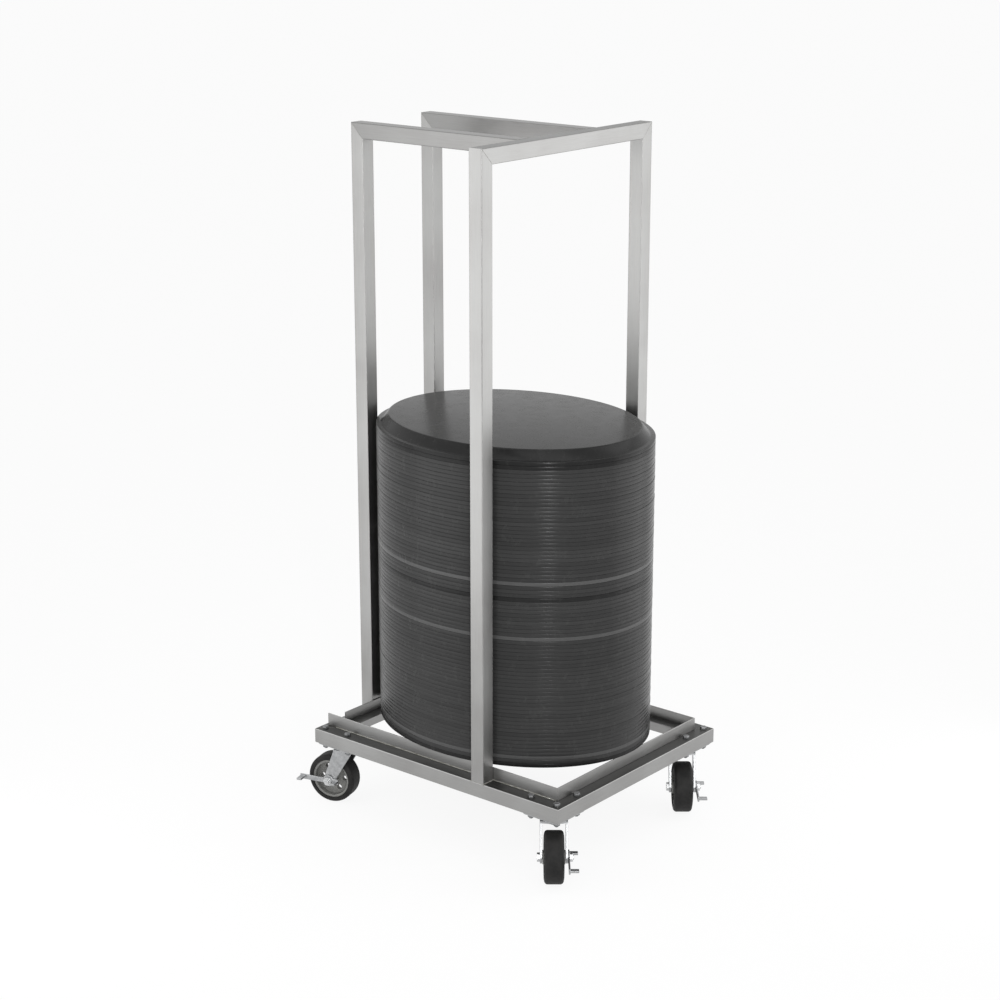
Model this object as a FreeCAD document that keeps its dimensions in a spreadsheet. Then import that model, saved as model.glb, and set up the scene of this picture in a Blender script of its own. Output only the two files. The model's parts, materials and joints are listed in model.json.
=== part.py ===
import FreeCAD, Part
import math
import os
import re
import Sketcher

# Oval tray transport cart: a welded square tube frame on four braked swivel casters,
# with a stack of oval trays that lie upside down on angle rails.
# Frame: +Z up, +X toward the loading end, origin on the floor under the middle of the base.

doc = FreeCAD.newDocument("oval_tray_cart")

# Driving dimensions in millimetres, angles in degrees
size = {
    # Welded frame
    "frame_length": 780.0,
    "frame_width": 640.0,
    "overall_height": 1710.0,
    "tube_size": 38.1,
    "tube_wall": 1.6,
    "rear_post_spacing": 254.0,
    "front_post_setback": 226.5,
    # Angles that carry the trays
    "rest_leg": 31.75,
    "rest_thickness": 3.2,
    "rest_front_overlap": 6.0,
    "rest_rear_overlap": 28.0,
    # Trays
    "tray_overhang": 13.5,
    "tray_post_clearance": 3.5,
    "tray_height": 32.0,
    "tray_rim_height": 9.4,
    "tray_rim_width": 12.0,
    "tray_wall_flare": 19.0,
    "tray_wall_thickness": 6.0,
    "tray_floor_thickness": 3.0,
    "tray_nest_gap": 0.3,
    "tray_count": 78,
    # Caster fixing
    "bolt_spacing": 76.2,
    "bolt_diameter": 9.5,
    "bolt_clearance": 0.4,
    "bolt_head_across": 14.3,
    "bolt_head_height": 6.0,
    "bolt_end": 3.0,
    "nut_height": 8.0,
    "gusset_edge": 25.0,
    "gusset_chamfer": 22.0,
    "gusset_thickness": 5.0,
    # Caster swivel
    "plate_edge": 12.7,
    "plate_thickness": 5.0,
    "race_radius": 29.0,
    "race_height": 3.0,
    "ball_diameter": 8.0,
    "ball_pitch_radius": 21.0,
    "ball_count": 14,
    "ball_clearance": 0.05,
    "kingpin_diameter": 16.0,
    "kingpin_head_diameter": 26.0,
    "kingpin_head_height": 8.0,
    "kingpin_end_gap": 0.4,
    "running_clearance": 0.05,
    # Fork
    "fork_leg_thickness": 5.0,
    "fork_crown_thickness": 6.0,
    "fork_crown_length": 50.0,
    "fork_boss_radius": 15.0,
    "fork_leg_half_width": 14.2,
    "fork_leg_skew": 4.5,
    # Wheel
    "wheel_diameter": 127.0,
    "wheel_trail": 38.0,
    "wheel_clearance": 16.0,
    "tyre_width": 48.0,
    "tyre_side_clearance": 4.0,
    "tyre_thickness": 13.0,
    "tyre_shoulder": 9.0,
    "core_rim_thickness": 6.0,
    "core_rim_inset": 3.0,
    "core_web_thickness": 12.0,
    "core_hole_radius": 6.5,
    "core_hole_count": 6,
    "hub_radius": 17.0,
    "hub_side_clearance": 1.0,
    "axle_diameter": 12.0,
    "axle_head_across": 19.0,
    "axle_head_height": 7.0,
    "axle_end": 2.5,
    # Brake lever, a rocker on the axle outside the fork
    "lever_gap": 0.3,
    "lever_thickness": 4.0,
    "lever_hub_radius": 15.0,
    "lever_arm_height": 13.0,
    "lever_tail": 80.0,
    "lever_toe": 28.0,
    "lever_tab_depth": 13.0,
    "lever_tab_width": 20.0,
    "lever_tab_thickness": 5.0,
    # Directions in which the parked casters trail, in plan from +X
    "trail_front_right": -50.8,
    "trail_front_left": -50.8,
    "trail_rear_right": -163.8,
    "trail_rear_left": 129.2,
}

# Half sizes of the base, outside and between its tubes
tube = size["tube_size"]
half_length = size["frame_length"] / 2
half_width = size["frame_width"] / 2
inner_length = half_length - tube
inner_width = half_width - tube

# The front posts stand back from the loading end
front_post_front = half_length - size["front_post_setback"]
front_post_rear = front_post_front - tube

# The rims pass over the rest rails
tray_half_length = inner_length + size["tray_overhang"]
tray_half_width = inner_width + size["tray_overhang"]
post_clearance = size["tray_post_clearance"]


def rim_reach(y):
    # Half length of the rim's ellipse at a distance from its long axis
    return tray_half_length * math.sqrt(1 - (y / tray_half_width) ** 2)


rear_post_inside = (size["rear_post_spacing"] - tube) / 2
# The stack stands midway between touching the rear posts and touching the front posts
rearmost_tray = rim_reach(rear_post_inside) + post_clearance - inner_length
foremost_tray = front_post_rear - rim_reach(inner_width - post_clearance)
tray_x = (rearmost_tray + foremost_tray) / 2

# Sizes that follow from the driving ones
size["tray_length"] = 2 * tray_half_length
size["tray_width"] = 2 * tray_half_width
size["top_rail_length"] = half_length + front_post_rear
size["caster_height"] = (
    size["wheel_diameter"]
    + size["wheel_clearance"]
    + size["fork_crown_thickness"]
    + size["ball_diameter"]
    + size["race_height"]
    + size["plate_thickness"]
)
size["plate_size"] = size["bolt_spacing"] + 2 * size["plate_edge"]
size["fork_gap"] = size["tyre_width"] + 2 * size["tyre_side_clearance"]
size["core_rim_width"] = size["tyre_width"] - 2 * size["core_rim_inset"]
core_rim_inside = size["wheel_diameter"] / 2 - size["tyre_thickness"] - size["core_rim_thickness"]
size["core_hole_circle"] = (core_rim_inside + size["hub_radius"]) / 2

sheet = doc.addObject("Spreadsheet::Sheet", "Sizes")
for row, (alias, value) in enumerate(size.items(), start=1):
    sheet.set("A%d" % row, alias)
    sheet.set("B%d" % row, str(value))
    sheet.setAlias("B%d" % row, alias)
doc.recompute()

nodes = []


def bound(text):
    # An expression in the sheet's words, such as "tube_size - tube_wall", with each word tied to its cell
    def tied(word):
        return "Sizes." + word.group(0) if word.group(0) in size else word.group(0)

    return re.sub(r"[a-z_]{4,}", tied, text)


def keep(piece, label, placement=None):
    # A finished sub-part gets its label, which names its file, and its place
    piece.Label = label
    if placement is not None:
        piece.Placement = placement
    nodes.append(piece)
    return piece


def placed(position, rotation=FreeCAD.Rotation()):
    return FreeCAD.Placement(FreeCAD.Vector(*position), rotation)


def frame_axes(along, across):
    # Turns a piece so that its own X lies along the first direction and its own Y along the second
    along = FreeCAD.Vector(*along)
    across = FreeCAD.Vector(*across)
    return FreeCAD.Rotation(along, across, along.cross(across), "XYZ")


def new_body(name):
    return doc.addObject("PartDesign::Body", name)


def origin_plane(body, role):
    return next(plane for plane in body.Origin.OriginFeatures if plane.Role == role)


def new_sketch(body, plane, offset="0"):
    sketch = body.newObject("Sketcher::SketchObject", "Sketch")
    sketch.AttachmentSupport = [(origin_plane(body, plane), "")]
    sketch.MapMode = "FlatFace"
    if offset != "0":
        sketch.setExpression("AttachmentOffset.Base.z", bound(offset))
    return sketch


def pin_point(sketch, geometry, position, point):
    # Ties one point of a sketch to its two coordinates from the sketch's origin
    for kind, text in zip(("DistanceX", "DistanceY"), point):
        index = sketch.addConstraint(Sketcher.Constraint(kind, -1, 1, geometry, position, 1.0))
        sketch.setExpression("Constraints[%d]" % index, bound(text))


def draw_outline(sketch, points):
    # A closed outline of straight lines, each corner given by two expressions
    count = len(points)
    turn = 2 * math.pi / count
    ring = [FreeCAD.Vector(math.cos(turn * step), math.sin(turn * step), 0) for step in range(count)]
    following = ring[1:] + ring[:1]
    lines = [sketch.addGeometry(Part.LineSegment(start, end)) for start, end in zip(ring, following)]
    for step in range(count):
        sketch.addConstraint(Sketcher.Constraint("Coincident", lines[step - 1], 2, lines[step], 1))
        pin_point(sketch, lines[step], 1, points[step])


def draw_circle(sketch, centre, radius):
    circle = sketch.addGeometry(Part.Circle(FreeCAD.Vector(1, 1, 0), FreeCAD.Vector(0, 0, 1), 1.0))
    index = sketch.addConstraint(Sketcher.Constraint("Radius", circle, 1.0))
    sketch.setExpression("Constraints[%d]" % index, bound(radius))
    pin_point(sketch, circle, 3, centre)


def pad(body, sketch, length, symmetric=False, reverse=False):
    feature = body.newObject("PartDesign::Pad", "Pad")
    feature.Profile = sketch
    feature.setExpression("Length", bound(length))
    feature.Midplane = symmetric
    feature.Reversed = reverse
    return feature


def pocket(body, sketch, length=None, symmetric=False):
    # Cuts toward the sketch's own +Z, to a length or through everything, and must take material away
    doc.recompute()
    before = body.Shape.Volume
    feature = body.newObject("PartDesign::Pocket", "Pocket")
    feature.Profile = sketch
    feature.Midplane = symmetric
    feature.Reversed = not symmetric
    if length is None:
        feature.Type = "ThroughAll"
    else:
        feature.setExpression("Length", bound(length))
    doc.recompute()
    if not body.Shape.Volume < before:
        raise ValueError("a cut in %s takes nothing away" % body.Name)
    return feature


def turned(name, points):
    # A body turned about its own Z axis, from an outline of radius and height
    body = new_body(name)
    sketch = new_sketch(body, "XZ_Plane")
    draw_outline(sketch, points)
    feature = body.newObject("PartDesign::Revolution", "Revolution")
    feature.Profile = sketch
    feature.ReferenceAxis = (sketch, ["V_Axis"])
    feature.Angle = 360.0
    return body


# Levels and places that several pieces share
base_bottom = size["caster_height"]
base_top = base_bottom + tube
tray_seat = base_top + size["rest_leg"]
bolt_x = half_length - tube / 2
bolt_y = half_width - tube / 2
swivel_x = bolt_x - size["bolt_spacing"] / 2
swivel_y = bolt_y - size["bolt_spacing"] / 2


# Square tube members


def tube_member(name, length, start_mitred, end_mitred, bolted=False):
    # A hollow square tube along its own X. Its long side is at Y 0, and a mitred end runs back at 45 degrees.
    body = new_body(name)
    start = "tube_size" if start_mitred else "0"
    end = length + " - tube_size" if end_mitred else length
    outside = new_sketch(body, "XY_Plane")
    draw_outline(outside, [("0", "0"), (length, "0"), (end, "tube_size"), (start, "tube_size")])
    pad(body, outside, "tube_size")
    # The hollow runs on past both ends by one tube, at the slant of each end
    near = "tube_wall"
    far = "tube_size - tube_wall"
    near_start = "tube_wall - tube_size" if start_mitred else "0 - tube_size"
    far_start = "0 - tube_wall" if start_mitred else "0 - tube_size"
    near_end = length + " - tube_wall + tube_size" if end_mitred else length + " + tube_size"
    far_end = length + " + tube_wall" if end_mitred else length + " + tube_size"
    hollow = new_sketch(body, "XY_Plane", "tube_wall")
    draw_outline(hollow, [(near_start, near), (near_end, near), (far_end, far), (far_start, far)])
    pocket(body, hollow, "tube_size - 2 * tube_wall")
    if bolted:
        holes = new_sketch(body, "XY_Plane")
        middle = "tube_size / 2"
        for along in (
            "tube_size / 2",
            "tube_size / 2 + bolt_spacing",
            length + " - tube_size / 2",
            length + " - tube_size / 2 - bolt_spacing",
        ):
            draw_circle(holes, (along, middle), "bolt_diameter / 2 + bolt_clearance")
        pocket(body, holes)
    return body


base_rails = [
    ("base_rail_right", "frame_length", (-half_length, -half_width, base_bottom), (1, 0, 0), (0, 1, 0)),
    ("base_rail_left", "frame_length", (half_length, half_width, base_bottom), (-1, 0, 0), (0, -1, 0)),
    ("base_rail_front", "frame_width", (half_length, -half_width, base_bottom), (0, 1, 0), (-1, 0, 0)),
    ("base_rail_rear", "frame_width", (-half_length, half_width, base_bottom), (0, -1, 0), (1, 0, 0)),
]
for label, length, corner, along, across in base_rails:
    rail = tube_member(label, length, True, True, bolted=True)
    keep(rail, label, placed(corner, frame_axes(along, across)))

post_length = "overall_height - caster_height - tube_size"
rear_post_edge = size["rear_post_spacing"] / 2 + tube / 2
up = (0, 0, 1)
posts = [
    ("front_post_right", (front_post_front, -half_width, base_top), (0, 1, 0)),
    ("front_post_left", (front_post_front - tube, half_width, base_top), (0, -1, 0)),
    ("rear_post_right", (-half_length, -rear_post_edge, base_top), (1, 0, 0)),
    ("rear_post_left", (-half_length, rear_post_edge - tube, base_top), (1, 0, 0)),
]
for label, foot, across in posts:
    keep(tube_member(label, post_length, False, True), label, placed(foot, frame_axes(up, across)))

top = size["overall_height"]
down = (0, 0, -1)
crossbar_place = placed((front_post_front, -half_width, top), frame_axes((0, 1, 0), down))
keep(tube_member("top_crossbar", "frame_width", True, True), "top_crossbar", crossbar_place)
for label, edge in (("top_rail_right", -rear_post_edge), ("top_rail_left", rear_post_edge - tube)):
    rail_place = placed((-half_length, edge, top), frame_axes((1, 0, 0), down))
    keep(tube_member(label, "top_rail_length", True, False), label, rail_place)


# Angles that carry the trays


def angle_member(name, length, start_mitred, end_mitred):
    # An angle along its own X: the standing leg's outside is at Y 0, the flat leg points to +Y
    body = new_body(name)
    section = new_sketch(body, "YZ_Plane")
    corners = [
        ("0", "0"),
        ("rest_leg", "0"),
        ("rest_leg", "rest_thickness"),
        ("rest_thickness", "rest_thickness"),
        ("rest_thickness", "rest_leg"),
        ("0", "rest_leg"),
    ]
    draw_outline(section, corners)
    pad(body, section, length)
    ends = []
    if start_mitred:
        ends.append([("0", "0"), ("rest_leg", "rest_leg"), ("0", "rest_leg")])
    if end_mitred:
        ends.append([(length, "0"), (length, "rest_leg"), (length + " - rest_leg", "rest_leg")])
    for corner in ends:
        mitre = new_sketch(body, "XY_Plane")
        draw_outline(mitre, corner)
        pocket(body, mitre)
    return body


rest_front = inner_length + size["rest_front_overlap"]
rest_rear = inner_length + size["rest_rear_overlap"]
side_length = "frame_length - 2 * tube_size + rest_front_overlap + rest_rear_overlap"
front_length = "frame_width - 2 * tube_size"
rear_length = "frame_width - 2 * tube_size - 2 * rest_leg"
rear_end = inner_width - size["rest_leg"]
front_corner = (rest_front, -inner_width, base_top)
rest_rails = [
    ("rest_rail_right", side_length, (-rest_rear, -inner_width, base_top), (1, 0, 0), (0, 1, 0), False, True),
    ("rest_rail_left", side_length, (rest_front, inner_width, base_top), (-1, 0, 0), (0, -1, 0), True, False),
    ("rest_rail_front", front_length, front_corner, (0, 1, 0), (-1, 0, 0), True, True),
    ("rest_rail_rear", rear_length, (-inner_length, rear_end, base_top), (0, -1, 0), (1, 0, 0), False, False),
]
for label, length, corner, along, across, start_mitred, end_mitred in rest_rails:
    rail = angle_member(label, length, start_mitred, end_mitred)
    keep(rail, label, placed(corner, frame_axes(along, across)))


# Groups of like pieces


def group(label, solids):
    piece = doc.addObject("Part::Feature", label)
    piece.Shape = Part.makeCompound(solids)
    return keep(piece, label)


def hexagon(across, height, level):
    # A hexagonal prism that stands on the given level
    reach = across / math.sqrt(3)
    turns = [math.radians(60 * step) for step in range(7)]
    ring = [FreeCAD.Vector(reach * math.cos(turn), reach * math.sin(turn), level) for turn in turns]
    return Part.Face(Part.makePolygon(ring)).extrude(FreeCAD.Vector(0, 0, height))


def disc(diameter, bottom_level, top_level):
    return Part.makeCylinder(diameter / 2, top_level - bottom_level, FreeCAD.Vector(0, 0, bottom_level))


def moved(shape, x, y):
    return shape.translated(FreeCAD.Vector(x, y, 0))


corners = [("front_right", 1, -1), ("front_left", 1, 1), ("rear_right", -1, -1), ("rear_left", -1, 1)]
inner_x = bolt_x - size["bolt_spacing"]
inner_y = bolt_y - size["bolt_spacing"]
tube_bolts = []
gusset_bolts = []
for corner, end, side in corners:
    for x, y in ((bolt_x, bolt_y), (inner_x, bolt_y), (bolt_x, inner_y)):
        tube_bolts.append((end * x, side * y))
    gusset_bolts.append((end * inner_x, side * inner_y))

plate_bottom = base_bottom - size["plate_thickness"]
nut_bottom = plate_bottom - size["nut_height"]
bolt_tip = nut_bottom - size["bolt_end"]


def bolt_under_head(seat):
    head = hexagon(size["bolt_head_across"], size["bolt_head_height"], seat)
    return head.fuse(disc(size["bolt_diameter"], bolt_tip, seat)).removeSplitter()


gusset_top = base_bottom + size["gusset_thickness"]
long_bolt = bolt_under_head(base_top)
short_bolt = bolt_under_head(gusset_top)
nut = hexagon(size["bolt_head_across"], size["nut_height"], nut_bottom)
nut = nut.cut(disc(size["bolt_diameter"], nut_bottom, plate_bottom))
group("caster_bolts_long", [moved(long_bolt, x, y) for x, y in tube_bolts])
group("caster_bolts_short", [moved(short_bolt, x, y) for x, y in gusset_bolts])
group("caster_nuts", [moved(nut, x, y) for x, y in tube_bolts + gusset_bolts])


def gusset(end, side):
    # A flat plate in an inner corner of the base, level with the underside of the tubes
    reach = inner_length - inner_x + size["gusset_edge"]
    cut = reach - size["gusset_chamfer"]
    outline = [(0, 0), (reach, 0), (reach, cut), (cut, reach), (0, reach), (0, 0)]
    ring = []
    for x, y in outline:
        ring.append(FreeCAD.Vector(end * (inner_length - x), side * (inner_width - y), base_bottom))
    plate = Part.Face(Part.makePolygon(ring)).extrude(FreeCAD.Vector(0, 0, size["gusset_thickness"]))
    hole = disc(size["bolt_diameter"] + 2 * size["bolt_clearance"], base_bottom, gusset_top)
    return plate.cut(moved(hole, end * inner_x, side * inner_y))


group("corner_gussets", [gusset(end, side) for corner, end, side in corners])


# Casters, drawn with the swivel axis at the origin, the floor at Z 0 and the trail along +X


def above_axle(amount):
    return "wheel_diameter / 2 + " + amount


def behind_axle(amount):
    return "wheel_trail + " + amount


crown_top = "caster_height - plate_thickness - race_height - ball_diameter"
crown_bottom = crown_top + " - fork_crown_thickness"
fork_width = "fork_gap + 2 * fork_leg_thickness"
axle_point = ("wheel_trail", "wheel_diameter / 2")


def top_plate(name):
    body = new_body(name)
    half = "plate_size / 2"
    less = "0 - plate_size / 2"
    square = new_sketch(body, "XY_Plane", "caster_height")
    draw_outline(square, [(less, less), (half, less), (half, half), (less, half)])
    pad(body, square, "plate_thickness", reverse=True)
    race = new_sketch(body, "XY_Plane", "caster_height - plate_thickness")
    draw_circle(race, ("0", "0"), "race_radius")
    pad(body, race, "race_height", reverse=True)
    holes = new_sketch(body, "XY_Plane")
    draw_circle(holes, ("0", "0"), "kingpin_diameter / 2")
    near = "bolt_spacing / 2"
    away = "0 - bolt_spacing / 2"
    for centre in ((near, near), (near, away), (away, near), (away, away)):
        draw_circle(holes, centre, "bolt_diameter / 2 + bolt_clearance")
    pocket(body, holes)
    return body


def kingpin(name):
    head_top = crown_bottom + " - kingpin_end_gap"
    head_bottom = head_top + " - kingpin_head_height"
    head = "kingpin_head_diameter / 2"
    shank = "kingpin_diameter / 2"
    outline = [("0", head_bottom), (head, head_bottom), (head, head_top), (shank, head_top)]
    return turned(name, outline + [(shank, "caster_height"), ("0", "caster_height")])


def bearing_balls(label, place):
    # A ring of balls between the plate's race and the fork's crown
    radius = size["ball_diameter"] / 2 - size["ball_clearance"]
    level = plate_bottom - size["race_height"] - size["ball_diameter"] / 2
    count = int(size["ball_count"])
    balls = []
    for step in range(count):
        turn = 2 * math.pi * step / count
        x = size["ball_pitch_radius"] * math.cos(turn)
        y = size["ball_pitch_radius"] * math.sin(turn)
        balls.append(Part.makeSphere(radius, FreeCAD.Vector(x, y, level)))
    piece = group(label, balls)
    piece.Placement = place


def fork(name):
    # Side outline padded across both legs, then cleared between them up to the crown
    body = new_body(name)
    half = "fork_crown_length / 2"
    less = "0 - fork_crown_length / 2"
    side = new_sketch(body, "XZ_Plane")
    outline = [
        (less, crown_top),
        (less, crown_bottom),
        (behind_axle("0 - fork_leg_half_width"), above_axle("0 - fork_leg_skew")),
        (behind_axle("fork_leg_half_width"), above_axle("fork_leg_skew")),
        (half, crown_bottom),
        (half, crown_top),
    ]
    draw_outline(side, outline)
    pad(body, side, fork_width, symmetric=True)
    ends = new_sketch(body, "XZ_Plane")
    draw_circle(ends, axle_point, "fork_boss_radius")
    pad(body, ends, fork_width, symmetric=True)
    crown = new_sketch(body, "XY_Plane", crown_bottom)
    draw_circle(crown, ("0", "0"), "race_radius")
    pad(body, crown, "fork_crown_thickness")
    gap = new_sketch(body, "XZ_Plane")
    front = "0 - wheel_diameter"
    back = "wheel_trail + wheel_diameter"
    draw_outline(gap, [(front, "0"), (back, "0"), (back, crown_bottom), (front, crown_bottom)])
    pocket(body, gap, "fork_gap", symmetric=True)
    bores = new_sketch(body, "XZ_Plane")
    draw_circle(bores, axle_point, "axle_diameter / 2")
    pocket(body, bores, fork_width, symmetric=True)
    bearing = new_sketch(body, "XY_Plane")
    draw_circle(bearing, ("0", "0"), "kingpin_diameter / 2 + running_clearance")
    pocket(body, bearing)
    return body


def wheel_core(name):
    # Hub, web with a ring of round holes, and rim, turned about the axle
    hub = "fork_gap / 2 - hub_side_clearance"
    web = "core_web_thickness / 2"
    rim = "core_rim_width / 2"
    bore = "axle_diameter / 2 + running_clearance"
    outer = "wheel_diameter / 2 - tyre_thickness"
    inner = outer + " - core_rim_thickness"
    above = [(bore, hub), ("hub_radius", hub), ("hub_radius", web), (inner, web), (inner, rim), (outer, rim)]
    below = [(radius, "0 - (" + level + ")") for radius, level in reversed(above)]
    body = turned(name, above + below)
    hole = new_sketch(body, "XY_Plane", "0 - core_web_thickness")
    draw_circle(hole, ("core_hole_circle", "0"), "core_hole_radius")
    cut = pocket(body, hole, "2 * core_web_thickness")
    ring = body.newObject("PartDesign::PolarPattern", "HoleRing")
    ring.Originals = [cut]
    ring.Axis = (hole, ["N_Axis"])
    ring.Angle = 360.0
    ring.setExpression("Occurrences", bound("core_hole_count"))
    body.Tip = ring
    return body


def tyre(name):
    # A rubber ring with rounded shoulders
    inner = "wheel_diameter / 2 - tyre_thickness"
    outer = "wheel_diameter / 2"
    face = "tyre_width / 2"
    less = "0 - tyre_width / 2"
    body = turned(name, [(inner, less), (outer, less), (outer, face), (inner, face)])
    doc.recompute()
    base = body.Tip
    middle_radius = (size["wheel_diameter"] - size["tyre_thickness"]) / 2
    shoulders = []
    for number, edge in enumerate(base.Shape.Edges, start=1):
        if isinstance(edge.Curve, Part.Circle) and edge.Curve.Radius > middle_radius:
            shoulders.append("Edge%d" % number)
    rounding = body.newObject("PartDesign::Fillet", "Shoulders")
    rounding.Base = (base, shoulders)
    rounding.setExpression("Radius", bound("tyre_shoulder"))
    return body


def axle(label, place):
    # A hexagon head bolt across the fork and the brake lever, and its nut outside the lever
    half = size["fork_gap"] / 2 + size["fork_leg_thickness"]
    lever_face = -half - 2 * size["lever_gap"] - size["lever_thickness"]
    across = size["axle_head_across"]
    height = size["axle_head_height"]
    diameter = size["axle_diameter"]
    nut_end = lever_face - height
    bolt = hexagon(across, height, half).fuse(disc(diameter, nut_end - size["axle_end"], half))
    axle_nut = hexagon(across, height, nut_end).cut(disc(diameter, nut_end, lever_face))
    piece = group(label, [bolt.removeSplitter(), axle_nut])
    piece.Placement = place


def brake_lever(name):
    # A rocker beside the fork: a ring on the axle, a long tail and a short toe, each with a tab bent outward
    body = new_body(name)
    inside = "0 - (fork_gap / 2 + fork_leg_thickness + lever_gap)"
    axle_x, axle_z = axle_point
    ring = new_sketch(body, "XZ_Plane", inside)
    draw_circle(ring, axle_point, "lever_hub_radius")
    pad(body, ring, "lever_thickness", reverse=True)
    arm = new_sketch(body, "XZ_Plane", inside)
    toe = axle_x + " - lever_toe"
    tail = axle_x + " + lever_tail"
    low = axle_z + " - lever_arm_height / 2"
    high = axle_z + " + lever_arm_height / 2"
    draw_outline(arm, [(toe, low), (tail, low), (tail, high), (toe, high)])
    pad(body, arm, "lever_thickness", reverse=True)
    tab_low = axle_z + " - lever_tab_thickness / 2"
    tab_high = axle_z + " + lever_tab_thickness / 2"
    for near, far in ((toe, toe + " + lever_tab_depth"), (tail + " - lever_tab_depth", tail)):
        tab = new_sketch(body, "XZ_Plane", inside)
        draw_outline(tab, [(near, tab_low), (far, tab_low), (far, tab_high), (near, tab_high)])
        pad(body, tab, "lever_thickness + lever_tab_width", reverse=True)
    bore = new_sketch(body, "XZ_Plane")
    draw_circle(bore, axle_point, "axle_diameter / 2 + running_clearance")
    pocket(body, bore, fork_width + " + 4 * lever_thickness", symmetric=True)
    return body


axle_height = size["wheel_diameter"] / 2
across_wheel = FreeCAD.Rotation(FreeCAD.Vector(1, 0, 0), 90)
for corner, end, side in corners:
    prefix = "caster_" + corner + "_"
    fixed = placed((end * swivel_x, side * swivel_y, 0))
    turn = FreeCAD.Rotation(FreeCAD.Vector(0, 0, 1), size["trail_" + corner])
    trailing = placed((end * swivel_x, side * swivel_y, 0), turn)
    at_axle = trailing.multiply(placed((size["wheel_trail"], 0, axle_height), across_wheel))
    keep(top_plate(prefix + "top_plate"), prefix + "top_plate", fixed)
    keep(kingpin(prefix + "kingpin"), prefix + "kingpin", fixed)
    bearing_balls(prefix + "bearing_balls", fixed)
    keep(fork(prefix + "fork"), prefix + "fork", trailing)
    axle(prefix + "axle", at_axle)
    keep(wheel_core(prefix + "wheel_core"), prefix + "wheel_core", at_axle)
    keep(tyre(prefix + "tyre"), prefix + "tyre", at_axle)
    keep(brake_lever(prefix + "brake_lever"), prefix + "brake_lever", trailing)


# Trays, upside down: the rim is at the bottom, the wall leans inward and the floor is on top


def oval(inset, level):
    # An ellipse inside the rim's outline, at a level above the underside of the rim
    ring = doc.addObject("Part::Ellipse", "Oval")
    ring.setExpression("MajorRadius", bound("tray_length / 2 - (" + inset + ")"))
    ring.setExpression("MinorRadius", bound("tray_width / 2 - (" + inset + ")"))
    ring.setExpression("Placement.Base.z", bound(level))
    return ring


def loft(ovals):
    solid = doc.addObject("Part::Loft", "Loft")
    solid.Sections = ovals
    solid.Solid = True
    solid.Ruled = True
    return solid


wall_slope = "tray_wall_flare / (tray_height - tray_rim_height)"
wall_foot = "tray_rim_width + tray_wall_thickness - tray_rim_height * " + wall_slope
wall_head = "tray_rim_width + tray_wall_thickness + tray_wall_flare - tray_floor_thickness * " + wall_slope
outside = loft([
    oval("0", "0"),
    oval("0", "tray_rim_height"),
    oval("tray_rim_width", "tray_rim_height"),
    oval("tray_rim_width + tray_wall_flare", "tray_height"),
])
hollow = loft([oval(wall_foot, "0"), oval(wall_head, "tray_height - tray_floor_thickness")])
tray = doc.addObject("Part::Cut", "top_tray")
tray.Base = outside
tray.Tool = hollow
doc.recompute()

tray_pitch = size["tray_rim_height"] + size["tray_nest_gap"]
top_step = int(size["tray_count"]) - 1
lower_trays = []
for step in range(top_step):
    lower_trays.append(tray.Shape.translated(FreeCAD.Vector(tray_x, 0, tray_seat + step * tray_pitch)))
keep(tray, "top_tray", placed((tray_x, 0, tray_seat + top_step * tray_pitch)))
group("bottom_tray", lower_trays[:1])
group("tray_stack", lower_trays[1:])

doc.recompute()

# Every object is sound before anything is written
for piece in doc.Objects:
    if "Invalid" in piece.State or "Error" in piece.State:
        raise ValueError("%s failed: %s" % (piece.Label, piece.State))
for piece in nodes:
    if piece.Shape.isNull() or not piece.Shape.isValid():
        raise ValueError("%s has no sound shape" % piece.Label)

os.makedirs("parts", exist_ok=True)
for piece in nodes:
    piece.Shape.exportStep(os.path.join("parts", piece.Label + ".step"))
    print("%-40s %d solids" % (piece.Label, len(piece.Shape.Solids)))
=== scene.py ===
import json
import math
import bmesh
import bpy
from mathutils import Matrix, Vector


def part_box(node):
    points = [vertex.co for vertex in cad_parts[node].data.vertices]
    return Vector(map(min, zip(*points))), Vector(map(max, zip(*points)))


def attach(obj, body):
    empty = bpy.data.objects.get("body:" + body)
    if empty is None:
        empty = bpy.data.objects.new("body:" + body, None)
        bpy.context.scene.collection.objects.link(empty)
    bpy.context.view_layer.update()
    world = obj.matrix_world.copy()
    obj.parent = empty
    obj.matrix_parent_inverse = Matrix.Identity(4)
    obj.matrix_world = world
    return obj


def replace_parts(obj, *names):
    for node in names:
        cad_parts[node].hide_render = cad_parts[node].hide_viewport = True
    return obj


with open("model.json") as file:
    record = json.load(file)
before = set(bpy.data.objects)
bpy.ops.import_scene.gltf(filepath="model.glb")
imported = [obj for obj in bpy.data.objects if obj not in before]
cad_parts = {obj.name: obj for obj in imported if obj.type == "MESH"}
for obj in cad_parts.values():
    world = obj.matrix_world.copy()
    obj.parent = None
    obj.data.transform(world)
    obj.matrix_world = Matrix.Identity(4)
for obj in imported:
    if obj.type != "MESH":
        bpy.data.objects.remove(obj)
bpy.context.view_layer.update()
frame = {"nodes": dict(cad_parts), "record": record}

nodes = frame["nodes"]
mm = 0.001
casterCorners = ("front_right", "front_left", "rear_right", "rear_left")
print("frame loaded:", len(nodes), "nodes")


# shared helpers

edgeStyle = {                 # angles in degrees
    "merge": 0.02 * mm,       # corners of a solid's loose triangles that lie this close are one
    "flatAngle": 1.0,         # faces no further out of line than this are joined
    "sharpAngle": 35,         # sharper edges are broken, or stay sharp on a source of instances
    "smoothAngle": 40,        # softer edges of a finished piece are shaded smooth
    "steps": 2,
    "profile": 0.6,
}


def linearColour(hexText):
    channels = [int(hexText[i:i + 2], 16) / 255 for i in (1, 3, 5)]
    linear = [c / 12.92 if c <= 0.04045 else ((c + 0.055) / 1.055) ** 2.4 for c in channels]
    return (*linear, 1.0)


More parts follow.
